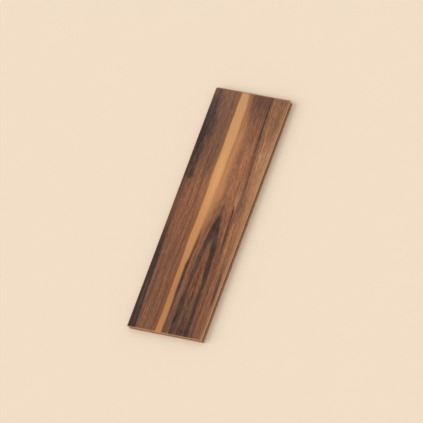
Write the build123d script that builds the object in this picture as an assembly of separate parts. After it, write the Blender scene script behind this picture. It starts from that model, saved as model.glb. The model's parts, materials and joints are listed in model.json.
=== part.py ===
from build123d import *
import os

# Laminate floor plank lying flat with its decor face up: fibreboard with milled edges, all one piece.
# X runs across the width, Y along the length, and Z up from the middle of the underside.
# The -X side and the +Y end carry the tongue, the +X side and the -Y end the groove.

# Overall sizes, measured between the closing faces that meet the next plank
plank_length = 420.0
plank_width = 135.0
plank_thickness = 12.0

# Edges outside the joint
bevel_width = 1.0  # even bevel round the decor face
back_arris = 0.4  # small bevel round the underside
lower_setback = 0.25  # keeps the lower half of a joint open, so that the decor edges close

# Tongue and groove
upper_lip = 4.2  # from the decor face down to the groove
tongue_thickness = 3.6
tongue_reach = 2.5
nose_radius = 0.6
slide_gap = 0.1  # above and below a seated tongue
end_gap = 0.4  # in front of a seated tongue
root_radius = 0.3
lead_in = 0.3  # bevel at the mouth of the groove

# Snap lock: a bead under the tongue and a notch for it in the lower lip
lock_radius = 0.6
lock_height = 0.2  # how far the bead stands out
lock_place = 1.3  # from the closing face
lock_gap = 0.05

# Heights and depths that follow from the sizes above
groove_top = plank_thickness - upper_lip
tongue_top = groove_top - slide_gap
tongue_bottom = tongue_top - tongue_thickness
groove_bottom = tongue_bottom - slide_gap
joint_middle = (groove_top + groove_bottom) / 2
groove_depth = tongue_reach + end_gap
lock_centre = tongue_bottom - lock_height + lock_radius
end_turn = Rot(Z=-90)  # degrees: carries the -X side to the +Y end


def blank_bar(span, run):
    # Board section across span, with its closing faces, bevels and lower setback
    closing = span / 2
    foot = closing - lower_setback
    half = Polyline(
        (0, 0),
        (foot - back_arris, 0),
        (foot, back_arris),
        (foot, joint_middle),
        (closing, joint_middle),
        (closing, plank_thickness - bevel_width),
        (closing - bevel_width, plank_thickness),
        (0, plank_thickness),
        close=True,
    )
    face = make_face(half)
    return extrude(Plane.XZ * (face + mirror(face, Plane.YZ)), run / 2, both=True)


def tongue_bar(span, start, end):
    # Tongue on the -X side of span with a rounded nose and the lock bead, from start to end along Y
    tongue = Pos(0, (tongue_top + tongue_bottom) / 2) * Rectangle(2 * tongue_reach, tongue_thickness)
    tongue = fillet(tongue.vertices().group_by(Axis.X)[0], nose_radius)
    bead = Pos(-lock_place, lock_centre) * Circle(lock_radius)
    bar = extrude(Plane.XZ * (tongue + bead), start - end)
    return Pos(-span / 2, start, 0) * bar


def groove_bar(span, run):
    # Space of the groove on the +X side of span, with its flared mouth and the lock notch
    mouth = Polyline(
        (-groove_depth, groove_bottom),
        (-lower_setback - lead_in, groove_bottom),
        (-lower_setback, groove_bottom - lead_in),
        (lead_in, groove_bottom - lead_in),
        (lead_in, groove_top + lead_in),
        (0, groove_top + lead_in),
        (-lead_in, groove_top),
        (-groove_depth, groove_top),
        close=True,
    )
    space = make_face(mouth)
    space = fillet(space.vertices().group_by(Axis.X)[0], root_radius)
    notch = Pos(-lock_place, lock_centre) * Circle(lock_radius + lock_gap)
    bar = extrude(Plane.XZ * (space + notch), run / 2, both=True)
    return Pos(span / 2, 0, 0) * bar


def make_plank():
    # The long sides are milled first, then the ends with the same profile
    side_x = plank_width / 2
    end_y = plank_length / 2
    body = blank_bar(plank_width, plank_length) & end_turn * blank_bar(plank_length, plank_width)
    body -= groove_bar(plank_width, plank_length)
    body -= end_turn * groove_bar(plank_length, plank_width)
    body += tongue_bar(plank_width, groove_depth - end_y, end_y)
    body += end_turn * tongue_bar(plank_length, -side_x, side_x - groove_depth)
    return body.solid()


os.makedirs("parts", exist_ok=True)
plank = make_plank()
plank.label = "plank"
export_step(plank, "parts/plank.step")
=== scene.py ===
import json
import math
import bmesh
import bpy
from mathutils import Matrix, Vector

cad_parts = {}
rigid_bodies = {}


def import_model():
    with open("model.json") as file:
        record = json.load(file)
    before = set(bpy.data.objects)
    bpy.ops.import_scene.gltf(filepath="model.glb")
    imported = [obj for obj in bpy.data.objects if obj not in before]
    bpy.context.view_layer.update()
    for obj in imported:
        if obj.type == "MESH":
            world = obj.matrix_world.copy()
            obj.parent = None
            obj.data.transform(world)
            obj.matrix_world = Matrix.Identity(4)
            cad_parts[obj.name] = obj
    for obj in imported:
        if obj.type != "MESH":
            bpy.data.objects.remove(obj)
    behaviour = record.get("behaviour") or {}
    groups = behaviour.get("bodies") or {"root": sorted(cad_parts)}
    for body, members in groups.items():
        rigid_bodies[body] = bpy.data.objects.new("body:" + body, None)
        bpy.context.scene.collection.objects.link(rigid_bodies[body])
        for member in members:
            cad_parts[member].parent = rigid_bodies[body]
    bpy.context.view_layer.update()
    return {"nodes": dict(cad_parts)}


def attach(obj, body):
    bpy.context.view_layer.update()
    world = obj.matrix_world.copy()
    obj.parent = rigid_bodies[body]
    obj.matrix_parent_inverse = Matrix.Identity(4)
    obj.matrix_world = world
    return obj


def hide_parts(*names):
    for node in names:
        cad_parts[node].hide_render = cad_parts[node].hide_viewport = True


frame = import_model()
scene = bpy.context.scene
scene.view_settings.view_transform = "Standard"

# Sizes of the plank between its closing faces, in metres, as in the solid
plankSize = {
    "width": 0.135,
    "length": 0.420,
    "thickness": 0.012,
    "bevel": 0.001,
    "jointHeight": 0.0059,  # middle of the tongue and the groove
    "jointReach": 0.0029,  # depth of the groove
}
mmPerMetre = 1000.0
swingGain = 5.0  # spreads a noise to about -1 to 1


# Small helpers for building node trees

def paint(red, green, blue):
    # A colour from 0 to 255, made linear by the sRGB curve
    def linear(value):
        share = value / 255
        if share <= 0.04045:
            return share / 12.92
        return ((share + 0.055) / 1.055) ** 2.4
    return (linear(red), linear(green), linear(blue), 1.0)


def feed(tree, socket, value):
    if isinstance(value, bpy.types.NodeSocket):
        tree.links.new(value, socket)
    else:
        socket.default_value = value


def calc(tree, operation, first, second=0.0, third=0.0):
    node = tree.nodes.new("ShaderNodeMath")
    node.operation = operation
    for socket, value in zip(node.inputs, (first, second, third)):
        feed(tree, socket, value)
    return node.outputs[0]


def remap(tree, value, low, high, smooth=False):
    # Nought at low and one at high. The node's own clamp stays off: Cycles would work it out last of all,
    # and keep the values before it waiting
    node = tree.nodes.new("ShaderNodeMapRange")
    node.clamp = False
    feed(tree, node.inputs["Value"], value)
    node.inputs["From Min"].default_value = low
    node.inputs["From Max"].default_value = high
    if smooth:
        node.interpolation_type = "SMOOTHSTEP"
        return node.outputs["Result"]
    return calc(tree, "MINIMUM", calc(tree, "MAXIMUM", node.outputs["Result"], 0.0), 1.0)


def mixColour(tree, factor, under, over, blend="MIX"):
    node = tree.nodes.new("ShaderNodeMix")
    node.data_type = "RGBA"
    node.blend_type = blend
    feed(tree, node.inputs["Factor"], factor)
    feed(tree, node.inputs[6], under)  # A, colour
    feed(tree, node.inputs[7], over)  # B, colour
    return node.outputs[2]


def stretched(tree, vector, across, along, up=1.0):
    # Object coordinates scaled so that one unit is a fleck of that many millimetres
    node = tree.nodes.new("ShaderNodeMapping")
    tree.links.new(vector, node.inputs["Vector"])
    node.inputs["Scale"].default_value = [mmPerMetre / size for size in (across, along, up)]
    return node.outputs["Vector"]


def noise(tree, vector, detail=2.0, roughness=0.5, distortion=0.0):
    node = tree.nodes.new("ShaderNodeTexNoise")
    tree.links.new(vector, node.inputs["Vector"])
    node.inputs["Scale"].default_value = 1.0
    node.inputs["Detail"].default_value = detail
    node.inputs["Roughness"].default_value = roughness
    node.inputs["Distortion"].default_value = distortion
    return node.outputs["Fac"]


def swing(tree, vector, detail=2.0, roughness=0.5, distortion=0.0):
    # The same noise spread to both sides of nought
    grey = noise(tree, vector, detail, roughness, distortion)
    return calc(tree, "MULTIPLY_ADD", grey, swingGain, -swingGain / 2)


def newMaterial(name, roughness):
    material = bpy.data.materials.new(name)
    material.use_nodes = True
    shader = material.node_tree.nodes["Principled BSDF"]
    shader.inputs["Roughness"].default_value = roughness
    coordinates = material.node_tree.nodes.new("ShaderNodeTexCoord")
    return material, material.node_tree, shader, coordinates.outputs["Object"]


def addBump(tree, shader, height, distance, strength):
    node = tree.nodes.new("ShaderNodeBump")
    node.inputs["Distance"].default_value = distance
    node.inputs["Strength"].default_value = strength
    tree.links.new(height, node.inputs["Height"])
    tree.links.new(node.outputs["Normal"], shader.inputs["Normal"])


# Walnut decor: streaks laid over each other, placed in millimetres from the middle of the face
# x runs from -67.5 to 67.5 across, y from 210 at the tongued end to -210 at the grooved end
decorLook = {
    "heartwood": (126, 86, 65),
    "wander": 0.6,  # how far the whole figure sways, mm
    "swayGrain": (40, 120),  # size of a bend across and along, mm, as for all grains below
    "flameAxis": 22.0,  # x of the middle of the flame, mm
    "flameReach": (36, 8),  # mm from the axis where lines begin to spread, and spread fully
    "flameSqueeze": [(60, 1.0), (20, 0.92), (-20, 0.7), (-70, 0.5), (-130, 0.44), (-210, 0.42)],
    "lean": 0.16,  # how far the lines on the right lean over the whole length
    "leanBegins": (0.55, 0.75),  # shares of the width
    "leanEnds": (1.0, 0.9),
    "frayGrain": (2.0, 50),  # wisps at the edge of a streak
    "mottleGrain": (3.0, 60),
    "smokeGrain": (9, 16),
    "hairGrain": (1.2, 70),  # fine long lines
    "hair": 0.17,
    "growthGrain": (3.4, 110),
    "darkLines": 0.55,
    "darkLineColour": (84, 58, 50),
    "lightLines": 0.38,
    "lightLineColour": (164, 114, 82),
    "patchGrain": (5, 50),
    "redder": 0.28,
    "redColour": (156, 90, 64),
    "olive": 0.26,
    "oliveColour": (120, 96, 72),
    "lineGrain": (2.4, 160),
    "lineLimits": (0.1, -0.9),
    "fineLines": 0.40,
    "fineLineColour": (78, 54, 46),
    "growth": 0.07,
    "fibreGrain": (1.8, 16),
    "fibre": 0.19,
    "fleckGrain": (1.4, 9),
    "fleck": 0.20,
    "lift": 1.05,  # makes up for the pores
    "sapLines": 0.06,
    "poreGrain": (0.5, 7),
    "poreLimits": (0.60, 0.74),  # of the noise: more pores with lower ones
    "poreDark": 0.25,
    "poreRough": 0.15,
    "fibreRough": 0.04,
    "fibreHeight": 0.15,  # against the depth of a pore
    "haze": (0.024, 0.020, 0.016, 1.0),  # what the sheen adds
    "roughness": 0.38,
    "gloss": 0.30,
    "bump": 0.00006,
    "bumpStrength": 0.6,
    "bevelColour": (184, 144, 114),
    "bevelWorn": 0.22,  # how far the print thins out towards the foot of the bevel
    "bevelLift": 0.22,
}

# A streak runs between its left and right edge, (y, x) points, with its colour and strength along y.
# soft is how far the two edges fade and fray how far they are torn. smoke and lines tear them further,
# and mottle and clouds vary the strength.

# Broad bands under the growth lines
bandStreaks = [
    {   # lighter middle of the left half
        "colour": [(100, (150, 104, 74)), (-40, (142, 95, 69))],
        "left": [(100, -44), (60, -48), (20, -54), (-60, -52)], "right": [(100, -14)],
        "soft": (6, 3), "fray": 3.0,
        "strength": [(125, 0), (95, 0.4), (45, 0.85), (0, 0.7), (-50, 0.4), (-80, 0)],
    },
    {   # duller patch left of the sapwood
        "colour": [(180, (110, 78, 62)), (80, (106, 76, 58))],
        "left": [(180, -36)], "right": [(180, -24.4)], "soft": (4, 2.5), "fray": 2.0, "mottle": 0.3,
        "strength": [(190, 0), (165, 0.45), (120, 0.5), (92, 0.75), (70, 0.5), (55, 0)],
    },
    {   # reddish brown over the middle
        "colour": [(210, (158, 109, 77))],
        "left": [(210, -4.8)], "right": [(210, 38.2)], "soft": (4, 4), "fray": 2.0,
        "strength": [(205, 0), (165, 0.5), (120, 0.9), (40, 1), (15, 0.7), (-20, 0.25), (-60, 0.1)],
    },
    {   # dark purple-brown at the top of the middle
        "colour": [(210, (104, 77, 67))],
        "left": [(210, 3), (190, 9), (160, 14)], "right": [(210, 38.2)], "soft": (6, 3), "fray": 4.0,
        "strength": [(210, 1), (190, 0.9), (172, 0.55), (150, 0.3), (110, 0.12), (80, 0)],
    },
    {   # tan band down the right
        "colour": [(210, (140, 103, 75)), (165, (140, 102, 74)), (140, (160, 114, 82)),
                   (110, (186, 137, 98)), (75, (182, 131, 92)), (40, (172, 123, 86)), (-40, (163, 112, 76)),
                   (-110, (142, 96, 68)), (-210, (127, 86, 62))],
        "left": [(210, 38.4), (192, 40.8), (150, 42), (110, 45), (60, 49.6), (0, 47.2), (-210, 49.2)],
        "soft": (5, 5), "fray": 3.0,
        "strength": [(210, 0.9), (-210, 0.9)],
    },
    {   # paler rim of the tan band
        "colour": [(210, (178, 132, 98))],
        "left": [(210, 65.2), (40, 62.2), (-210, 65.2)], "soft": (3, 5), "fray": 2.0,
        "strength": [(210, 0.1), (150, 0.3), (110, 0.9), (70, 0.9), (20, 0.6), (-80, 0.5), (-150, 0.2),
                     (-210, 0.3)],
    },
    {   # red streak in the middle
        "colour": [(150, (158, 98, 71)), (112, (186, 132, 96)), (84, (178, 112, 80)), (50, (158, 98, 66))],
        "left": [(170, 26), (120, 23.4), (40, 25.4)], "right": [(170, 30.4), (90, 31.8), (40, 28.4)],
        "soft": (3, 3), "fray": 2.5,
        "strength": [(178, 0), (158, 0.7), (138, 0.6), (112, 1), (88, 0.85), (60, 0.4), (40, 0)],
    },
    {   # duller brown between the sapwood and the flame's right leg
        "colour": [(-40, (116, 82, 66)), (-210, (106, 76, 63))],
        "left": [(-40, -4)], "right": [(-40, 44)], "soft": (3, 5), "fray": 2.0,
        "strength": [(-20, 0), (-70, 0.15), (-120, 0.5), (-210, 0.8)],
    },
]

# Dark figure over the growth lines
figureStreaks = [
    {   # duller top of the left half
        "colour": [(210, (134, 99, 81)), (150, (120, 88, 69)), (80, (128, 91, 70))],
        "right": [(210, -22)], "soft": (4, 5), "fray": 3.0, "smoke": 4.0, "clouds": 0.35,
        "strength": [(210, 0.75), (150, 0.75), (100, 0.65), (70, 0.45), (45, 0)],
    },
    {   # olive smoke over it
        "colour": [(200, (118, 91, 71)), (120, (110, 84, 62)), (80, (108, 82, 60))],
        "left": [(210, -50)], "right": [(210, -23)],
        "soft": (5, 4), "fray": 2.0, "smoke": 5.0, "clouds": 1.0,
        "strength": [(208, 0.1), (175, 0.25), (120, 0.3), (90, 0.3), (65, 0)],
    },
    {   # smudged dark left edge, upper half
        "colour": [(210, (82, 65, 61)), (120, (59, 47, 46)), (60, (64, 49, 45)), (20, (88, 66, 55))],
        "right": [(210, -53), (190, -50), (175, -50), (160, -47.5), (138, -46.5), (118, -51), (100, -51),
                  (85, -50), (70, -51), (57, -49.5), (50, -56), (0, -59.8)],
        "soft": (4, 7), "fray": 4.0, "mottle": 0.35, "smoke": 3.5, "clouds": 0.12,
        "strength": [(210, 0.75), (180, 0.9), (110, 1), (60, 0.95), (48, 0.6), (0, 0.6), (-30, 0)],
    },
    {   # grey wisp in it
        "colour": [(190, (110, 88, 82)), (140, (102, 82, 75))],
        "left": [(200, -57.4), (140, -53.2)], "right": [(200, -54), (140, -48.6)],
        "soft": (1.6, 2), "fray": 2.0, "smoke": 3.0,
        "strength": [(204, 0), (184, 0.7), (160, 0.35), (140, 0.6), (118, 0)],
    },
    {   # second grey wisp
        "colour": [(100, (102, 77, 70)), (60, (106, 77, 66))],
        "left": [(112, -59.6), (60, -62.6)], "right": [(112, -55), (60, -59.6)],
        "soft": (1.4, 2), "fray": 1.6, "smoke": 2.0,
        "strength": [(120, 0), (100, 0.3), (62, 0.6), (44, 0)],
    },
    {   # brown corner at the top of the dark edge
        "colour": [(210, (120, 96, 83))],
        "right": [(210, -60.8), (190, -63.8), (170, -67)], "soft": (3, 3), "fray": 1.5,
        "strength": [(210, 0.9), (192, 0.6), (172, 0)],
    },
    {   # sharp dark left edge, lower half
        "colour": [(0, (84, 63, 54)), (-60, (70, 53, 48)), (-150, (64, 50, 47)), (-210, (62, 49, 46))],
        "right": [(20, -60.8), (-20, -58.4), (-50, -57.4), (-80, -56.6), (-130, -55.2), (-170, -53.8),
                  (-210, -53)],
        "soft": (2, 2.4), "fray": 1.0, "mottle": 0.15,
        "strength": [(10, 0), (-20, 0.6), (-60, 0.95), (-90, 1), (-210, 1)],
    },
    {   # greyer thread down the dark edge
        "colour": [(-120, (92, 70, 62)), (-155, (104, 80, 70)), (-205, (86, 68, 65))],
        "left": [(-110, -61.6)], "right": [(-110, -58.6)], "soft": (1.2, 1.2), "fray": 0.8,
        "strength": [(-105, 0), (-125, 0.35), (-155, 0.7), (-190, 0.5), (-210, 0.5)],
    },
    {   # pinkish thread beside the dark edge
        "colour": [(-110, (130, 98, 84))],
        "left": [(-60, -55.4), (-160, -54.4)], "right": [(-60, -53.6), (-160, -52.4)],
        "soft": (1.2, 1.4), "fray": 0.8,
        "strength": [(-55, 0), (-90, 0.6), (-140, 0.8), (-160, 0.4), (-175, 0)],
    },
    {   # dark line right of the sapwood
        "colour": [(-20, (124, 82, 52)), (-60, (104, 68, 44)), (-90, (72, 55, 40)), (-125, (74, 51, 43)),
                   (-150, (92, 59, 43)), (-210, (98, 66, 47))],
        "left": [(-20, -3.4), (-60, -3.4), (-76, -4), (-90, -6.8), (-140, -7.6), (-210, -6.8)],
        "right": [(-20, -0.4), (-55, 1.2), (-75, -0.6), (-90, -1.2), (-120, -1.6), (-150, -1.6),
                  (-210, -0.4)],
        "soft": (1.5, 1.4), "fray": 0.8, "mottle": 0.2,
        "strength": [(-5, 0), (-28, 0.7), (-55, 0.9), (-90, 0.95), (-130, 0.95), (-155, 0.7), (-210, 0.7)],
    },
    {   # duller margin left of the mineral line
        "colour": [(180, (104, 74, 62)), (130, (122, 84, 64))],
        "left": [(190, 33), (150, 33.4), (115, 34.4)], "right": [(190, 37.4), (150, 38), (115, 38)],
        "soft": (2, 1.2), "fray": 1.2,
        "strength": [(192, 0), (178, 0.6), (145, 0.5), (128, 0.45), (112, 0)],
    },
    {   # mineral line from the top
        "colour": [(210, (54, 37, 32)), (178, (38, 25, 22)), (140, (54, 38, 30)), (100, (82, 58, 48)),
                   (30, (108, 78, 64))],
        "left": [(210, 36.4), (170, 36.8), (140, 37.8), (110, 40.4), (80, 42.2), (50, 44.6), (20, 47)],
        "right": [(210, 37.9), (170, 38.9), (140, 40.4), (110, 41.8), (80, 43.6), (50, 47), (20, 50.6)],
        "soft": (0.7, 0.8), "fray": 0.6, "mottle": 0.2,
        "strength": [(210, 0.9), (160, 0.95), (130, 0.7), (90, 0.5), (60, 0.55), (35, 0.4), (10, 0)],
    },
    {   # light strip right of the mineral line
        "colour": [(180, (164, 116, 86)), (120, (180, 132, 100))],
        "left": [(190, 44.6), (150, 46), (120, 47.2), (85, 50)],
        "right": [(190, 47.6), (150, 49.6), (120, 51), (85, 52.6)], "soft": (1.6, 2), "fray": 1.4,
        "strength": [(198, 0), (182, 0.5), (155, 0.75), (125, 0.75), (105, 0.35), (75, 0)],
    },
    {   # olive smear right of the mineral line
        "colour": [(210, (112, 86, 66)), (60, (116, 85, 68))],
        "left": [(170, 39.2), (120, 42.2), (60, 46.2), (20, 45.2), (-20, 47.2)],
        "right": [(170, 43.2), (130, 48.2), (90, 50.2), (50, 54.2), (20, 57.2), (-20, 53.2)],
        "soft": (2, 4), "fray": 2.5,
        "strength": [(185, 0), (145, 0.25), (110, 0.12), (80, 0.2), (40, 0.45), (15, 0.65), (-20, 0)],
    },
    {   # pale sliver left of the mineral line
        "colour": [(210, (178, 130, 95))],
        "left": [(100, 36.7), (20, 37.2)], "right": [(100, 39.2), (60, 42.2), (20, 43.7)],
        "soft": (2, 2), "fray": 1.5,
        "strength": [(115, 0), (70, 0.4), (45, 0.6), (25, 0.85), (8, 0)],
    },
    {   # head of the cathedral flame
        "colour": [(20, (100, 72, 52)), (-8, (64, 50, 40)), (-25, (66, 52, 44)), (-42, (78, 58, 53))],
        "left": [(20, 20), (0, 17.6), (-12, 16.4), (-20, 14.2), (-38, 11.8), (-60, 12.4)],
        "right": [(20, 23.6), (0, 25), (-12, 25.8), (-20, 27.4), (-38, 32), (-60, 35)],
        "soft": (2, 2), "fray": 1.8, "mottle": 0.15,
        "strength": [(22, 0), (14, 0.7), (5, 0.6), (-4, 0.9), (-20, 1), (-38, 0.95), (-52, 0.4), (-66, 0)],
    },
    {   # left leg
        "colour": [(-35, (72, 55, 47)), (-65, (84, 61, 50)), (-95, (92, 66, 56)), (-135, (78, 57, 43)),
                   (-165, (80, 57, 46)), (-195, (70, 54, 47))],
        "left": [(-35, 12.2), (-55, 10.2), (-75, 7.8), (-100, 7.3), (-125, 7.6), (-150, 6.4), (-210, 6.6)],
        "right": [(-35, 20), (-55, 19), (-75, 18), (-100, 15.4), (-120, 13.8), (-140, 13.8), (-160, 16.4),
                  (-210, 17.6)],
        "soft": (1.8, 2), "fray": 1.8, "mottle": 0.3,
        "strength": [(-30, 0), (-45, 0.95), (-80, 0.85), (-130, 0.9), (-210, 0.9)],
    },
    {   # right leg
        "colour": [(-40, (80, 59, 52)), (-58, (60, 46, 37)), (-90, (66, 49, 44)), (-115, (76, 53, 44)),
                   (-210, (70, 51, 46))],
        "left": [(-38, 24.5), (-55, 25.8), (-75, 27.2), (-95, 29), (-110, 31.4), (-150, 32.6), (-210, 34)],
        "right": [(-38, 33), (-55, 35.8), (-75, 36), (-95, 37.8), (-130, 38.6), (-170, 41), (-210, 43.4)],
        "soft": (1.6, 1.6), "fray": 1.6, "mottle": 0.22,
        "strength": [(-34, 0), (-45, 0.8), (-58, 1), (-100, 0.95), (-210, 0.95)],
    },
    {   # paler sliver at the top of the tongue between the legs
        "colour": [(-40, (116, 86, 76)), (-55, (146, 108, 88))],
        "left": [(-40, 21.4), (-60, 21)], "right": [(-40, 23.4), (-60, 24.6), (-80, 25)],
        "soft": (1.4, 1.4), "fray": 1.0,
        "strength": [(-39, 0), (-52, 0.7), (-64, 0.55), (-80, 0)],
    },
    {   # reddish tongue between the legs
        "colour": [(-60, (120, 80, 62)), (-85, (128, 84, 61)), (-100, (136, 88, 61)), (-130, (132, 84, 58)),
                   (-150, (112, 78, 60))],
        "left": [(-52, 21.6), (-75, 20), (-100, 17.4), (-120, 15), (-150, 15.8)],
        "right": [(-52, 24), (-75, 26.4), (-95, 28.2), (-110, 30.4), (-130, 31.6), (-150, 26)],
        "soft": (1.5, 1.8), "fray": 1.5, "mottle": 0.25,
        "strength": [(-52, 0), (-68, 0.8), (-120, 0.9), (-142, 0.7), (-160, 0)],
    },
    {   # dark thread down the tongue
        "colour": [(-90, (114, 67, 42))],
        "left": [(-80, 22.4), (-140, 22.4)], "right": [(-80, 23.5), (-110, 25), (-140, 25.7)],
        "soft": (1.2, 1.4), "fray": 1.0,
        "strength": [(-84, 0), (-105, 0.75), (-130, 0.7), (-142, 0)],
    },
    {   # duller right half of the tongue
        "colour": [(-100, (118, 86, 67))],
        "left": [(-100, 27.5), (-150, 27)], "right": [(-100, 31), (-150, 33)],
        "soft": (1.5, 1.5), "fray": 1.2,
        "strength": [(-98, 0), (-112, 0.7), (-145, 0.7), (-165, 0)],
    },
    {   # dark inner flame
        "colour": [(-138, (84, 62, 45)), (-150, (94, 69, 57)), (-165, (102, 76, 58)), (-185, (88, 62, 53)),
                   (-210, (80, 57, 49))],
        "left": [(-132, 23.6), (-145, 22.2), (-160, 19.4), (-210, 20)],
        "right": [(-132, 25.4), (-145, 28.2), (-160, 32.4), (-210, 31)],
        "soft": (1.2, 1.6), "fray": 1.2, "mottle": 0.3,
        "strength": [(-132, 0), (-141, 0.95), (-160, 0.85), (-210, 0.85)],
    },
    {   # thread low in the inner flame
        "colour": [(-170, (78, 53, 44))],
        "left": [(-165, 23.8), (-210, 22.6)], "right": [(-165, 25.8), (-210, 25.4)],
        "soft": (1.2, 1.4), "fray": 1.2,
        "strength": [(-162, 0), (-180, 0.7), (-210, 0.7)],
    },
    {   # red thread right of the flame's head
        "colour": [(50, (134, 86, 61)), (0, (142, 86, 59))],
        "left": [(56, 31), (30, 31), (8, 29), (-30, 32)],
        "right": [(56, 34.6), (30, 35), (8, 31.5), (-12, 34.6), (-30, 36)], "soft": (1.5, 1.5), "fray": 1.5,
        "strength": [(66, 0), (50, 0.75), (34, 0.75), (12, 0.2), (-8, 0.7), (-25, 0.7), (-40, 0)],
    },
    {   # pale olive sliver beside the right leg
        "colour": [(-30, (154, 115, 78))],
        "left": [(-15, 35.5), (-60, 37.4)], "right": [(-15, 39.5), (-60, 41)],
        "soft": (1.4, 1.4), "fray": 1.2,
        "strength": [(-12, 0), (-30, 0.55), (-48, 0.45), (-66, 0)],
    },
    {   # red thread left of the flame
        "colour": [(10, (146, 94, 68))],
        "left": [(10, 6.8), (-70, 4.4)], "right": [(10, 9.6), (-70, 7.2)], "soft": (1.4, 1.4), "fray": 1.4,
        "strength": [(15, 0), (-5, 0.6), (-50, 0.6), (-75, 0)],
    },
    {   # second red thread, lower down
        "colour": [(-95, (132, 76, 54))],
        "left": [(-90, -1), (-110, 4.6), (-130, 6.6)], "right": [(-90, 2), (-110, 7), (-130, 8.6)],
        "soft": (1.4, 1.4), "fray": 1.2,
        "strength": [(-88, 0), (-98, 0.5), (-115, 0.75), (-128, 0.5), (-142, 0)],
    },
    {   # second mineral line
        "colour": [(20, (70, 47, 34)), (-30, (74, 51, 42)), (-42, (80, 61, 57)), (-80, (112, 70, 51)),
                   (-150, (106, 67, 47)), (-200, (94, 62, 46))],
        "left": [(22, 37.5), (8, 39.6), (-20, 41.5), (-50, 43.6), (-80, 46), (-210, 46.8)],
        "right": [(22, 39.1), (8, 41.4), (-20, 43.4), (-35, 44.4), (-50, 46.4), (-80, 49), (-210, 50.4)],
        "soft": (1, 1.2), "fray": 0.8, "mottle": 0.2,
        "strength": [(24, 0), (10, 0.95), (-20, 0.95), (-45, 0.85), (-65, 0.7), (-120, 0.8), (-210, 0.9)],
    },
    {   # short dark streak low on the right
        "colour": [(-95, (102, 74, 54)), (-120, (96, 69, 58)), (-138, (82, 58, 46))],
        "left": [(-88, 57), (-105, 57.6), (-120, 58.2), (-135, 59.6), (-155, 61.4)],
        "right": [(-88, 59.6), (-105, 63), (-120, 64.2), (-135, 65), (-155, 64.8)],
        "soft": (1.5, 1.5), "fray": 1.2,
        "strength": [(-86, 0), (-100, 0.85), (-122, 0.9), (-138, 0.9), (-150, 0.4), (-160, 0)],
    },
    {   # greyish sliver between the sapwood and the flame
        "colour": [(-100, (128, 100, 84))],
        "left": [(-90, -0.8), (-160, -1.8)], "right": [(-90, 3.2), (-160, 4.7)],
        "soft": (1.5, 2), "fray": 1.2,
        "strength": [(-85, 0), (-115, 0.6), (-150, 0.5), (-185, 0.1), (-210, 0.1)],
    },
    {   # paler thread low on the left
        "colour": [(-90, (146, 103, 79))],
        "left": [(-80, -44.8)], "right": [(-80, -41.4)], "soft": (1.4, 1.4), "fray": 1.2,
        "strength": [(-65, 0), (-95, 0.5), (-190, 0.6), (-210, 0.5)],
    },
    {   # darker thread beside it
        "colour": [(-90, (102, 66, 44))],
        "left": [(-100, -38)], "right": [(-100, -35)], "soft": (1.4, 1.4), "fray": 1.2,
        "strength": [(-98, 0), (-125, 0.45), (-170, 0.5), (-205, 0.2)],
    },
    {   # second paler thread
        "colour": [(-90, (146, 103, 79))],
        "left": [(-100, -33.8)], "right": [(-100, -30.4)], "soft": (1.4, 1.4), "fray": 1.2,
        "strength": [(-90, 0), (-115, 0.4), (-165, 0.5), (-210, 0.4)],
    },
    {   # second darker thread
        "colour": [(-90, (104, 68, 48))],
        "left": [(-120, -27)], "right": [(-120, -22)], "soft": (1.4, 1.4), "fray": 1.2,
        "strength": [(-112, 0), (-138, 0.45), (-165, 0.5), (-195, 0.3), (-210, 0.2)],
    },
    {   # darker vein on the left
        "colour": [(-80, (100, 68, 52))],
        "left": [(-85, -50.3), (-160, -51.3)], "right": [(-85, -47.3), (-160, -46.8)],
        "soft": (1.5, 2), "fray": 1.5,
        "strength": [(-80, 0), (-110, 0.6), (-130, 0.85), (-150, 0.7), (-170, 0)],
    },
]

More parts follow.
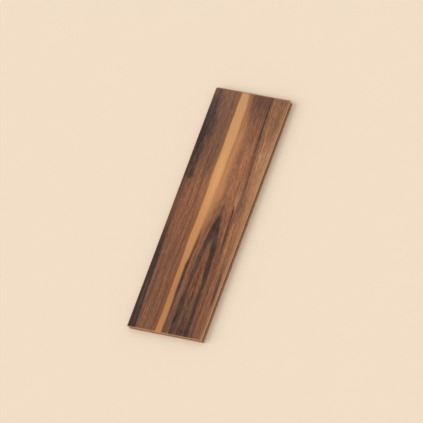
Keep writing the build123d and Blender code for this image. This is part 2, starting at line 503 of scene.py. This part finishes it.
# The pale sapwood and a painted highlight along the right edge lie over the figure, so that they stay clean
sapwoodAndHighlightStreaks = [
    {   # orange skirt right of the sapwood
        "colour": [(210, (174, 126, 92)), (170, (184, 132, 92)), (60, (190, 134, 90)),
                   (-20, (180, 128, 88))],
        "left": [(210, -6.8)],
        "right": [(205, -0.5), (170, 6.6), (140, 10.6), (110, 9.4), (75, 7.8), (40, 10.2), (10, 5.8),
                  (-20, 3.2), (-60, -0.8)],
        "soft": (3, 4.5), "fray": 2.5, "lines": 3.0, "mottle": 0.3,
        "strength": [(210, 0.6), (165, 0.6), (130, 0.85), (20, 0.9), (-15, 0.6), (-50, 0)],
    },
    {   # brown skirt left of it
        "colour": [(210, (144, 99, 70)), (100, (142, 96, 66)), (58, (158, 110, 74)), (20, (150, 101, 66)),
                   (-60, (144, 94, 62)), (-130, (136, 86, 54))],
        "left": [(210, -23), (-210, -21)], "right": [(210, -10)], "soft": (2, 2), "fray": 0.8,
        "strength": [(210, 0.6), (50, 0.8), (-210, 0.8)],
    },
    {   # sapwood stripe
        "colour": [(210, (197, 151, 106)), (120, (203, 152, 103)), (60, (207, 154, 105)),
                   (0, (199, 144, 93)), (-60, (196, 140, 92)), (-130, (182, 127, 82)),
                   (-210, (186, 130, 86))],
        "left": [(210, -19), (145, -19.3), (105, -18), (50, -17.9), (0, -17.1), (-100, -16.8),
                 (-210, -16.6)],
        "right": [(210, -6.2), (190, -3.8), (165, -2.2), (100, -1.4), (40, -2.2), (-30, -3.4), (-60, -4.2),
                  (-78, -5), (-92, -7.2), (-145, -7), (-165, -6.2), (-210, -5.8)],
        "soft": (1.0, 2.0), "fray": 0.8, "lines": 1.0,
        "strength": [(210, 1), (-210, 1)],
    },
    {   # brown thread beside it
        "colour": [(180, (148, 100, 68)), (120, (160, 106, 66))],
        "left": [(190, -0.7), (60, -0.3)], "right": [(190, 1.3), (60, 1.6)], "soft": (1, 1), "fray": 0.5,
        "strength": [(200, 0), (178, 0.6), (135, 0.6), (95, 0.45), (60, 0.2), (45, 0)],
    },
    {   # brighter heart of the sapwood
        "colour": [(120, (214, 159, 106)), (60, (224, 164, 108)), (-20, (210, 150, 99))],
        "left": [(150, -12.5)], "right": [(150, -4.8)], "soft": (4, 3), "fray": 1.5, "lines": 1.0,
        "strength": [(160, 0), (120, 0.5), (70, 0.9), (20, 0.7), (-30, 0.4), (-60, 0)],
    },
    {   # painted highlight: pale line along the right edge, where the arris catches the light
        "colour": [(210, (198, 156, 124))],
        "left": [(210, 65.6), (135, 65.2), (100, 62.6), (75, 62.8), (45, 65.4)],
        "soft": (1.4, 1), "fray": 0.4,
        "strength": [(210, 0.12), (140, 0.25), (60, 0.4), (10, 0.2), (-60, 0.3), (-210, 0.35)],
    },
]


def alongShare(y):
    # Share of the length from the tongued end
    halfLength = plankSize["length"] * mmPerMetre / 2
    return (halfLength - y) / (2 * halfLength)


def alongCurve(tree, along, points, toValue):
    # A value that changes along the plank, drawn through (y, value) points
    places = [(alongShare(y), toValue(value)) for y, value in points]
    if len(places) == 1:
        return places[0][1]
    node = tree.nodes.new("ShaderNodeFloatCurve")
    node.mapping.extend = "HORIZONTAL"
    curve = node.mapping.curves[0]
    for number, place in enumerate(places):
        if number < 2:
            curve.points[number].location = place
        else:
            curve.points.new(*place)
    for point in curve.points:
        point.handle_type = "AUTO_CLAMPED"
    node.mapping.update()
    tree.links.new(along, node.inputs["Value"])
    return node.outputs["Value"]


def streakColour(tree, along, stops):
    if len(stops) == 1:
        return paint(*stops[0][1])
    node = tree.nodes.new("ShaderNodeValToRGB")
    ramp = node.color_ramp
    while len(ramp.elements) < len(stops):
        ramp.elements.new(1.0)
    for element, (y, colour) in zip(ramp.elements, stops):
        element.position = alongShare(y)
        element.color = paint(*colour)
    tree.links.new(along, node.inputs["Fac"])
    return node.outputs["Color"]


def addStreak(tree, colour, streak, field):
    # Lays one streak over the colour so far. Without an edge it reaches the side of the plank
    width = plankSize["width"] * mmPerMetre

    def toShare(x):
        return min(max(x / width + 0.5, 0.0), 1.0)

    place = calc(tree, "MULTIPLY_ADD", field["fray"], streak["fray"] / width, field["across"])
    for extra in ("smoke", "lines"):
        if extra in streak:
            place = calc(tree, "MULTIPLY_ADD", field[extra], streak[extra] / width, place)
    mask = alongCurve(tree, field["along"], streak["strength"], float)
    for side, soft in zip(("left", "right"), streak["soft"]):
        if side in streak:
            edge = alongCurve(tree, field["along"], streak[side], toShare)
            outer, inner = (edge, place) if side == "left" else (place, edge)
            inside = calc(tree, "SUBTRACT", inner, outer)
            fade = remap(tree, inside, -soft / width, soft / width, smooth=True)
            mask = calc(tree, "MULTIPLY", mask, fade)
    for pattern, share in (("mottle", "mottle"), ("smoke", "clouds")):
        if share in streak:
            spread = calc(tree, "MULTIPLY_ADD", field[pattern], streak[share], 1.0)
            mask = calc(tree, "MULTIPLY", mask, spread)
    return mixColour(tree, mask, colour, streakColour(tree, field["along"], streak["colour"]))


def grainFlow(tree, position):
    # Shares of the face across and along, and positions whose lines run with the rings and the fibres
    width = plankSize["width"] * mmPerMetre
    split = tree.nodes.new("ShaderNodeSeparateXYZ")
    tree.links.new(position, split.inputs[0])
    along = calc(tree, "MULTIPLY_ADD", split.outputs["Y"], -1 / plankSize["length"], 0.5)
    sway = swing(tree, stretched(tree, position, *decorLook["swayGrain"]))
    across = calc(tree, "MULTIPLY_ADD", split.outputs["X"], 1 / plankSize["width"], 0.5)
    across = calc(tree, "MULTIPLY_ADD", sway, decorLook["wander"] / width, across)
    # Lines spread downwards round the flame and lean on the right
    fromAxis = calc(tree, "SUBTRACT", across, decorLook["flameAxis"] / width + 0.5)
    farReach, nearReach = [size / width for size in decorLook["flameReach"]]
    nearAxis = remap(tree, calc(tree, "ABSOLUTE", fromAxis), farReach, nearReach, smooth=True)
    squeeze = alongCurve(tree, along, decorLook["flameSqueeze"], float)
    shift = calc(tree, "MULTIPLY", calc(tree, "SUBTRACT", squeeze, 1.0), fromAxis)
    begun = remap(tree, across, *decorLook["leanBegins"])
    onRight = calc(tree, "MULTIPLY", begun, remap(tree, across, *decorLook["leanEnds"]))
    lean = calc(tree, "MULTIPLY", onRight, -decorLook["lean"])
    straightX = calc(tree, "MULTIPLY_ADD", along, lean, across)
    flowX = calc(tree, "MULTIPLY_ADD", shift, nearAxis, straightX)
    flows = []
    for acrossGrain in (flowX, straightX):
        flow = tree.nodes.new("ShaderNodeCombineXYZ")
        tree.links.new(calc(tree, "MULTIPLY", acrossGrain, plankSize["width"]), flow.inputs["X"])
        tree.links.new(split.outputs["Y"], flow.inputs["Y"])
        flows.append(flow.outputs[0])
    # The streaks read their place from behind the grain. Cycles then works them out one by one, and
    # doesn't run out of room for the curves of all of them at once
    join = tree.nodes.new("ShaderNodeCombineXYZ")
    for socket, value in zip(join.inputs, (across, along, split.outputs["Z"])):
        tree.links.new(value, socket)
    fromFace = tree.nodes.new("ShaderNodeMapping")
    fromFace.inputs["Location"].default_value = (0.0, 0.0, -plankSize["thickness"])
    tree.links.new(join.outputs[0], fromFace.inputs["Vector"])
    place = tree.nodes.new("ShaderNodeSeparateXYZ")
    tree.links.new(fromFace.outputs[0], place.inputs[0])
    return {
        "across": place.outputs["X"],
        "along": place.outputs["Y"],
        "rise": place.outputs["Z"],  # above the face, so nought or less
        "rings": flows[0],
        "fibres": flows[1],
    }


def grain(tree, flow, size, detail=2.0, roughness=0.5, distortion=0.0):
    # One of the decor's grains, which runs with the flow
    return swing(tree, stretched(tree, flow, *decorLook[size]), detail, roughness, distortion)


def tint(tree, colour, mask, share, tintColour):
    # Lays one of the decor's colours over the colour so far, where the mask is
    factor = calc(tree, "MULTIPLY", mask, decorLook[share])
    return mixColour(tree, factor, colour, paint(*decorLook[tintColour]))


def shade(tree, colour, value):
    node = tree.nodes.new("ShaderNodeHueSaturation")
    feed(tree, node.inputs["Color"], colour)
    tree.links.new(value, node.inputs["Value"])
    return node.outputs["Color"]


def makeDecor():
    material, tree, shader, position = newMaterial("walnutDecor", decorLook["roughness"])
    shader.inputs["Specular IOR Level"].default_value = decorLook["gloss"]
    field = grainFlow(tree, position)
    rings = field["rings"]
    fibres = field["fibres"]
    field["fray"] = grain(tree, rings, "frayGrain", detail=3, roughness=0.6)
    field["mottle"] = grain(tree, rings, "mottleGrain", detail=3, roughness=0.65)
    field["smoke"] = grain(tree, position, "smokeGrain", detail=4, roughness=0.6)
    field["lines"] = grain(tree, fibres, "hairGrain", detail=2, roughness=0.6)

    colour = paint(*decorLook["heartwood"])
    for streak in bandStreaks:
        colour = addStreak(tree, colour, streak, field)

    # Growth lines: darker and lighter streaks, and patches that are redder or more olive
    growth = grain(tree, rings, "growthGrain", detail=4, roughness=0.7, distortion=0.15)
    colour = tint(tree, colour, remap(tree, growth, 0.0, -1.0), "darkLines", "darkLineColour")
    colour = tint(tree, colour, remap(tree, growth, 0.0, 1.0), "lightLines", "lightLineColour")
    patch = grain(tree, rings, "patchGrain", detail=3, roughness=0.6)
    colour = tint(tree, colour, remap(tree, patch, 0.0, 1.0), "redder", "redColour")
    colour = tint(tree, colour, remap(tree, patch, 0.0, -1.0), "olive", "oliveColour")
    for streak in figureStreaks:
        colour = addStreak(tree, colour, streak, field)
    line = grain(tree, rings, "lineGrain", detail=2, roughness=0.5)
    line = remap(tree, line, *decorLook["lineLimits"], smooth=True)
    colour = tint(tree, colour, line, "fineLines", "fineLineColour")

    # Fibres and flecks of the heartwood, then the sapwood with fainter ones and the painted highlight along
    # the right edge, then pores over all of it
    fibre = grain(tree, fibres, "fibreGrain", detail=3, roughness=0.65)
    fleck = grain(tree, fibres, "fleckGrain", detail=1)
    value = calc(tree, "MULTIPLY_ADD", fibre, decorLook["fibre"], decorLook["lift"])
    value = calc(tree, "MULTIPLY_ADD", growth, decorLook["growth"], value)
    value = calc(tree, "MULTIPLY_ADD", fleck, decorLook["fleck"], value)
    value = calc(tree, "MULTIPLY_ADD", field["lines"], decorLook["hair"], value)
    colour = shade(tree, colour, value)
    for streak in sapwoodAndHighlightStreaks:
        colour = addStreak(tree, colour, streak, field)
    pore = noise(tree, stretched(tree, fibres, *decorLook["poreGrain"]), detail=1)
    pore = remap(tree, pore, *decorLook["poreLimits"], smooth=True)
    value = calc(tree, "MULTIPLY_ADD", field["lines"], decorLook["sapLines"], 1.0)
    value = calc(tree, "MULTIPLY_ADD", pore, -decorLook["poreDark"], value)
    colour = shade(tree, colour, value)

    # The print is pressed over the bevel and thins out towards its foot
    foot = remap(tree, field["rise"], 0.0, -plankSize["bevel"])
    colour = tint(tree, colour, foot, "bevelWorn", "bevelColour")
    colour = shade(tree, colour, calc(tree, "MULTIPLY_ADD", foot, decorLook["bevelLift"], 1.0))

    # The colours above were picked with the sheen on them, so its haze comes off again
    bare = mixColour(tree, 1.0, colour, decorLook["haze"], "SUBTRACT")
    tree.links.new(bare, shader.inputs["Base Color"])

    # Pores are duller and lie below the face
    rough = calc(tree, "MULTIPLY_ADD", pore, decorLook["poreRough"], decorLook["roughness"])
    rough = calc(tree, "MULTIPLY_ADD", fibre, decorLook["fibreRough"], rough)
    tree.links.new(rough, shader.inputs["Roughness"])
    height = calc(tree, "MULTIPLY", fibre, decorLook["fibreHeight"])
    height = calc(tree, "MULTIPLY_ADD", pore, -1.0, height)
    addBump(tree, shader, height, decorLook["bump"], decorLook["bumpStrength"])
    return material


decor = makeDecor()
print("decor material done,", len(decor.node_tree.nodes), "nodes")

# Fibreboard: pressed wood fibres, on the milled edges and the back
boardLook = {
    "edgeColour": (196, 155, 123),  # bare fibreboard above the groove
    "lowerShadeColour": (158, 119, 87),  # painted shade: darker from the groove down, where the edge lies in shade
    "lowerShadeFrom": 0.0083,  # height above the underside where the painted shade begins
    "lowerShadeFade": 0.0002,
    "backColour": (176, 150, 118),
    "fineFleck": (0.5, 0.5, 0.22),  # size across, along and up, mm
    "longFleck": (2.2, 2.2, 0.3),
    "fleckShare": 0.5,  # of each kind
    "cloud": (14, 14, 6),
    "fleckContrast": 0.16,
    "cloudContrast": 0.08,
    "roughness": 0.62,
    "fleckRough": 0.06,
    "gloss": 0.3,
    "bump": 0.00005,
    "bumpStrength": 0.5,
}


def makeFlecks():
    group = bpy.data.node_groups.new("fibreFlecks", "ShaderNodeTree")
    group.interface.new_socket("Position", in_out="INPUT", socket_type="NodeSocketVector")
    for name in ("Fleck", "Cloud"):
        group.interface.new_socket(name, in_out="OUTPUT", socket_type="NodeSocketFloat")
    entry = group.nodes.new("NodeGroupInput")
    leave = group.nodes.new("NodeGroupOutput")
    position = entry.outputs["Position"]
    fine = swing(group, stretched(group, position, *boardLook["fineFleck"]), detail=3, roughness=0.7)
    long = swing(group, stretched(group, position, *boardLook["longFleck"]), detail=2)
    fleck = calc(group, "MULTIPLY", fine, boardLook["fleckShare"])
    fleck = calc(group, "MULTIPLY_ADD", long, boardLook["fleckShare"], fleck)
    group.links.new(fleck, leave.inputs["Fleck"])
    cloud = swing(group, stretched(group, position, *boardLook["cloud"]), detail=2)
    group.links.new(cloud, leave.inputs["Cloud"])
    return group


def placeFlecks(tree, group, position):
    node = tree.nodes.new("ShaderNodeGroup")
    node.node_tree = group
    tree.links.new(position, node.inputs["Position"])
    return node.outputs["Fleck"], node.outputs["Cloud"]


def makeBoard(name, group, colour, lowerShaded=False):
    material, tree, shader, position = newMaterial(name, boardLook["roughness"])
    shader.inputs["Specular IOR Level"].default_value = boardLook["gloss"]
    fleck, cloud = placeFlecks(tree, group, position)
    # Painted shade: the milled edge turns darker from the groove down
    if lowerShaded:
        split = tree.nodes.new("ShaderNodeSeparateXYZ")
        tree.links.new(position, split.inputs[0])
        lowerShadeFrom = boardLook["lowerShadeFrom"]
        fade = boardLook["lowerShadeFade"]
        height = calc(tree, "MULTIPLY_ADD", cloud, fade, split.outputs["Z"])
        lowerShade = remap(tree, height, lowerShadeFrom + fade, lowerShadeFrom - fade, smooth=True)
        base = mixColour(tree, lowerShade, paint(*colour), paint(*boardLook["lowerShadeColour"]))
    else:
        base = paint(*colour)
    value = calc(tree, "MULTIPLY_ADD", fleck, boardLook["fleckContrast"], 1.0)
    value = calc(tree, "MULTIPLY_ADD", cloud, boardLook["cloudContrast"], value)
    tree.links.new(shade(tree, base, value), shader.inputs["Base Color"])
    rough = calc(tree, "MULTIPLY_ADD", fleck, boardLook["fleckRough"], boardLook["roughness"])
    tree.links.new(rough, shader.inputs["Roughness"])
    addBump(tree, shader, fleck, boardLook["bump"], boardLook["bumpStrength"])
    return material


flecks = makeFlecks()
milledEdge = makeBoard("milledEdge", flecks, boardLook["edgeColour"], lowerShaded=True)
backPaper = makeBoard("backPaper", flecks, boardLook["backColour"])
print("fibreboard materials done")

# The dressed plank: the solid's mesh with a finely divided decor face that carries the embossed grain
plankLook = {
    "name": "laminate_plank",
    "mergeGap": 0.000001,
    "flatAngle": 0.5,  # degrees
    "flatNormal": 0.9,  # least upright share of a normal on the decor and the back
    "bevelNormal": (0.6, 0.8),
    "firstCuts": 98,  # the decor face is cut into (98 + 1) x (2 + 1) strips each way
    "secondCuts": 2,
    "rimWeights": (0.35, 0.7, 1.0),  # the emboss fades in over three rows from the rim
    "embossDepth": 0.00007,
    "embossGrain": (0.0014, 0.045, 1.0),  # size of a grain hollow across and along
    "hollowRamp": (0.28, 0.50),  # of the noise: the bottom of a hollow and the flat face
    "smoothAngle": 30.0,
    "mapName": "OFBake",
    "mapColumns": [(0.80, 0.995), (0.005, 0.62), (0.64, 0.78)],  # milled edges, decor and back
    "mapFaceLength": 0.99,  # of the map's height
    "mapEdgeLength": 0.94,  # leaves room for the tongues past the closing faces
    "mapStrips": 4,  # in the column of the milled edges
    "mapEdgeWidth": 0.92,  # of a strip
}


def pickFaces(plank, wanted):
    # Selects the faces whose middle and normal pass the test, in edit mode
    bpy.ops.mesh.select_all(action="DESELECT")
    mesh = bmesh.from_edit_mesh(plank.data)
    for face in mesh.faces:
        if wanted(face.calc_center_median(), face.normal):
            face.select_set(True)
    bmesh.update_edit_mesh(plank.data)


def isDecor(middle, normal):
    lowest = plankSize["thickness"] - 2 * plankLook["embossDepth"]
    return normal.z > plankLook["flatNormal"] and middle.z > lowest


def isBevel(middle, normal):
    least, most = plankLook["bevelNormal"]
    return least < normal.z < most and middle.z > plankSize["thickness"] - plankSize["bevel"]


def isBack(middle, normal):
    return normal.z < -plankLook["flatNormal"] and middle.z < plankLook["embossDepth"]


def copyPlank():
    bpy.ops.object.select_all(action="DESELECT")
    plank = bpy.data.objects.new(plankLook["name"], frame["nodes"]["plank"].data.copy())
    scene.collection.objects.link(plank)
    bpy.context.view_layer.objects.active = plank
    plank.select_set(True)
    plank.data.materials.clear()
    bpy.ops.mesh.customdata_custom_splitnormals_clear()
    bpy.ops.object.mode_set(mode="EDIT")
    bpy.ops.mesh.select_mode(type="FACE")
    bpy.ops.mesh.select_all(action="SELECT")
    bpy.ops.mesh.remove_doubles(threshold=plankLook["mergeGap"])
    bpy.ops.mesh.dissolve_limited(angle_limit=math.radians(plankLook["flatAngle"]))
    return plank


def divideDecor(plank):
    pickFaces(plank, isDecor)
    bpy.ops.mesh.subdivide(number_cuts=plankLook["firstCuts"])
    bpy.ops.mesh.subdivide(number_cuts=plankLook["secondCuts"])
    bpy.ops.object.vertex_group_add()
    plank.vertex_groups[-1].name = "emboss"
    for weight in plankLook["rimWeights"]:
        bpy.ops.mesh.select_less()
        scene.tool_settings.vertex_group_weight = weight
        bpy.ops.object.vertex_group_assign()


def embossDecor(plank):
    bpy.ops.object.mode_set(mode="OBJECT")
    hollows = bpy.data.textures.new("grainHollows", "CLOUDS")
    hollows.noise_basis = "IMPROVED_PERLIN"
    hollows.noise_scale = 1.0
    hollows.noise_depth = 2
    hollows.use_color_ramp = True
    low, high = hollows.color_ramp.elements
    low.position, high.position = plankLook["hollowRamp"]
    low.color = (0.0, 0.0, 0.0, 1.0)
    high.color = (1.0, 1.0, 1.0, 1.0)
    bpy.ops.object.empty_add(location=(0, 0, 0))
    guide = bpy.context.object
    guide.scale = plankLook["embossGrain"]
    bpy.ops.object.select_all(action="DESELECT")
    plank.select_set(True)
    bpy.context.view_layer.objects.active = plank
    bpy.ops.object.modifier_add(type="DISPLACE")
    emboss = plank.modifiers[-1]
    emboss.texture = hollows
    emboss.texture_coords = "OBJECT"
    emboss.texture_coords_object = guide
    emboss.vertex_group = "emboss"
    emboss.direction = "Z"
    emboss.mid_level = 1.0
    emboss.strength = plankLook["embossDepth"]
    bpy.ops.object.modifier_apply(modifier=emboss.name)
    bpy.data.objects.remove(guide)
    plank.vertex_groups.clear()


def paintPlank(plank):
    for material in (milledEdge, decor, backPaper):
        plank.data.materials.append(material)
    bpy.ops.object.mode_set(mode="EDIT")
    for number, test in ((1, isDecor), (1, isBevel), (2, isBack)):
        pickFaces(plank, test)
        plank.active_material_index = number
        bpy.ops.object.material_slot_assign()
    bpy.ops.object.mode_set(mode="OBJECT")
    bpy.ops.object.shade_smooth_by_angle(angle=math.radians(plankLook["smoothAngle"]))


def edgeSpot(point, middle, normal):
    # Four strips side by side, each unrolled from its top, round the tongue or groove and on down
    halfWidth = plankSize["width"] / 2
    halfLength = plankSize["length"] / 2
    onSide = abs(normal.x) > abs(normal.y)
    if abs(normal.z) > max(abs(normal.x), abs(normal.y)):
        onSide = halfWidth - abs(middle.x) < halfLength - abs(middle.y)
    if onSide:
        strip = 0 if middle.x < 0 else 1
        along = point.y / plankSize["length"]
        reach = abs(abs(point.x) - halfWidth)
    else:
        strip = 2 if middle.y < 0 else 3
        along = point.x / plankSize["width"]
        reach = abs(abs(point.y) - halfLength)
    down = plankSize["thickness"] - point.z
    if point.z > plankSize["jointHeight"]:
        down += reach
    else:
        down += 2 * plankSize["jointReach"] - reach
    down /= plankSize["thickness"] + 2 * plankSize["jointReach"]
    across = (strip + plankLook["mapEdgeWidth"] * down) / plankLook["mapStrips"]
    return across, plankLook["mapEdgeLength"] * along


def faceSpot(point):
    # The decor and the back lie as they are seen from above
    return point.x / plankSize["width"] + 0.5, plankLook["mapFaceLength"] * point.y / plankSize["length"]


def layOutMap(plank):
    # A flat map for baking. The decor takes most of its width, then come the back and the milled edges
    bpy.ops.mesh.uv_texture_add()
    plank.data.uv_layers.active.name = plankLook["mapName"]
    bpy.ops.object.mode_set(mode="EDIT")
    mesh = bmesh.from_edit_mesh(plank.data)
    layer = mesh.loops.layers.uv.active
    for face in mesh.faces:
        left, right = plankLook["mapColumns"][face.material_index]
        middle = face.calc_center_median()
        for corner in face.loops:
            if face.material_index > 0:
                across, along = faceSpot(corner.vert.co)
            else:
                across, along = edgeSpot(corner.vert.co, middle, face.normal)
            corner[layer].uv = (left + (right - left) * across, along + 0.5)
    bmesh.update_edit_mesh(plank.data)
    bpy.ops.object.mode_set(mode="OBJECT")


plank = copyPlank()
divideDecor(plank)
embossDecor(plank)
paintPlank(plank)
layOutMap(plank)
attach(plank, "root")
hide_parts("plank")
print("plank done,", len(plank.data.polygons), "faces")

# Pale floor and soft studio light from the upper left of the picture
studioLook = {
    "floorColour": (240, 224, 205),
    "backdropColour": (238, 218, 195),
    "floorGrain": (60, 60, 60),  # mm
    "floorDarker": 0.985,
    "floorRoughness": 0.9,
    "floorGloss": 0.1,
    "floorSize": 80.0,
    "floorDrop": 0.0002,  # keeps the floor clear of the underside
    "sunFrom": (-0.80, -0.35, 0.75),
    "sunStrength": 1.1,
    "sunAngle": 50.0,  # degrees, for soft shadows
    "skyColour": (1.0, 0.95, 0.89, 1.0),
    "skyStrength": 0.80,
}


def makeFloor():
    bpy.ops.object.select_all(action="DESELECT")
    place = (0, 0, -studioLook["floorDrop"])
    bpy.ops.mesh.primitive_plane_add(size=studioLook["floorSize"], location=place)
    floor = bpy.context.object
    floor.name = "floor"
    material, tree, shader, position = newMaterial("paleFloor", studioLook["floorRoughness"])
    mottle = noise(tree, stretched(tree, position, *studioLook["floorGrain"]), detail=3)
    base = paint(*studioLook["floorColour"])
    darker = [channel * studioLook["floorDarker"] for channel in base[:3]] + [1.0]
    colour = mixColour(tree, mottle, darker, base)
    tree.links.new(colour, shader.inputs["Base Color"])
    shader.inputs["Specular IOR Level"].default_value = studioLook["floorGloss"]
    floor.data.materials.append(material)


def makeLight():
    sunFrom = Vector(studioLook["sunFrom"])
    bpy.ops.object.light_add(type="SUN", location=sunFrom)
    sun = bpy.context.object
    sun.name = "keyLight"
    sun.rotation_euler = sunFrom.to_track_quat("Z", "Y").to_euler()
    sun.data.energy = studioLook["sunStrength"]
    sun.data.angle = math.radians(studioLook["sunAngle"])

    # The sky lights evenly, and shows as the floor's colour to the camera and in reflections
    world = bpy.data.worlds.new("studioSky")
    world.use_nodes = True
    scene.world = world
    tree = world.node_tree
    fill = tree.nodes["Background"]
    fill.inputs["Color"].default_value = studioLook["skyColour"]
    fill.inputs["Strength"].default_value = studioLook["skyStrength"]
    shown = tree.nodes.new("ShaderNodeBackground")
    shown.inputs["Color"].default_value = paint(*studioLook["backdropColour"])
    shown.inputs["Strength"].default_value = 1.0
    path = tree.nodes.new("ShaderNodeLightPath")
    seen = calc(tree, "MAXIMUM", path.outputs["Is Camera Ray"], path.outputs["Is Glossy Ray"])
    seen = calc(tree, "MAXIMUM", seen, path.outputs["Is Transmission Ray"])
    choose = tree.nodes.new("ShaderNodeMixShader")
    tree.links.new(seen, choose.inputs["Fac"])
    tree.links.new(fill.outputs[0], choose.inputs[1])
    tree.links.new(shown.outputs[0], choose.inputs[2])
    tree.links.new(choose.outputs[0], tree.nodes["World Output"].inputs["Surface"])


makeFloor()
makeLight()
print("floor and light done")

# Camera: a long lens that looks down on the plank and is rolled so that it leans as in the picture
cameraView = {
    "azimuth": 58.602,  # degrees, as the two below
    "elevation": 55.838,
    "roll": -42.710,
    "lens": 1000.0,  # mm, as the sensor
    "sensor": 36.0,
    "clipEnd": 200.0,
    "imageSize": 423,  # pixels
    "pixelsPerMetre": 634.24,
    "plankPixel": (210.02, 214.72),  # where the middle of the plank comes in the image
}


def makeCamera():
    turn = math.radians(cameraView["azimuth"])
    lift = math.radians(cameraView["elevation"])
    roll = math.radians(cameraView["roll"])
    back = Vector((math.sin(turn) * math.cos(lift), -math.cos(turn) * math.cos(lift), math.sin(lift)))
    level = Vector((math.cos(turn), math.sin(turn), 0.0))
    rise = back.cross(level)
    right = level * math.cos(roll) + rise * math.sin(roll)
    up = rise * math.cos(roll) - level * math.sin(roll)
    half = cameraView["imageSize"] / 2
    pixelX, pixelY = cameraView["plankPixel"]
    aim = Vector((0.0, 0.0, plankSize["thickness"] / 2))
    aim += right * (half - pixelX) / cameraView["pixelsPerMetre"]
    aim += up * (pixelY - half) / cameraView["pixelsPerMetre"]
    frameWidth = cameraView["imageSize"] / cameraView["pixelsPerMetre"]
    place = aim + back * frameWidth * cameraView["lens"] / cameraView["sensor"]
    bpy.ops.object.camera_add(location=place)
    camera = bpy.context.object
    camera.name = "pictureCamera"
    camera.data.lens = cameraView["lens"]
    camera.data.sensor_width = cameraView["sensor"]
    camera.data.clip_end = cameraView["clipEnd"]
    turnMatrix = Matrix((right, up, back)).transposed().to_4x4()
    camera.matrix_world = Matrix.Translation(place) @ turnMatrix
    scene.camera = camera


makeCamera()
print("camera done")
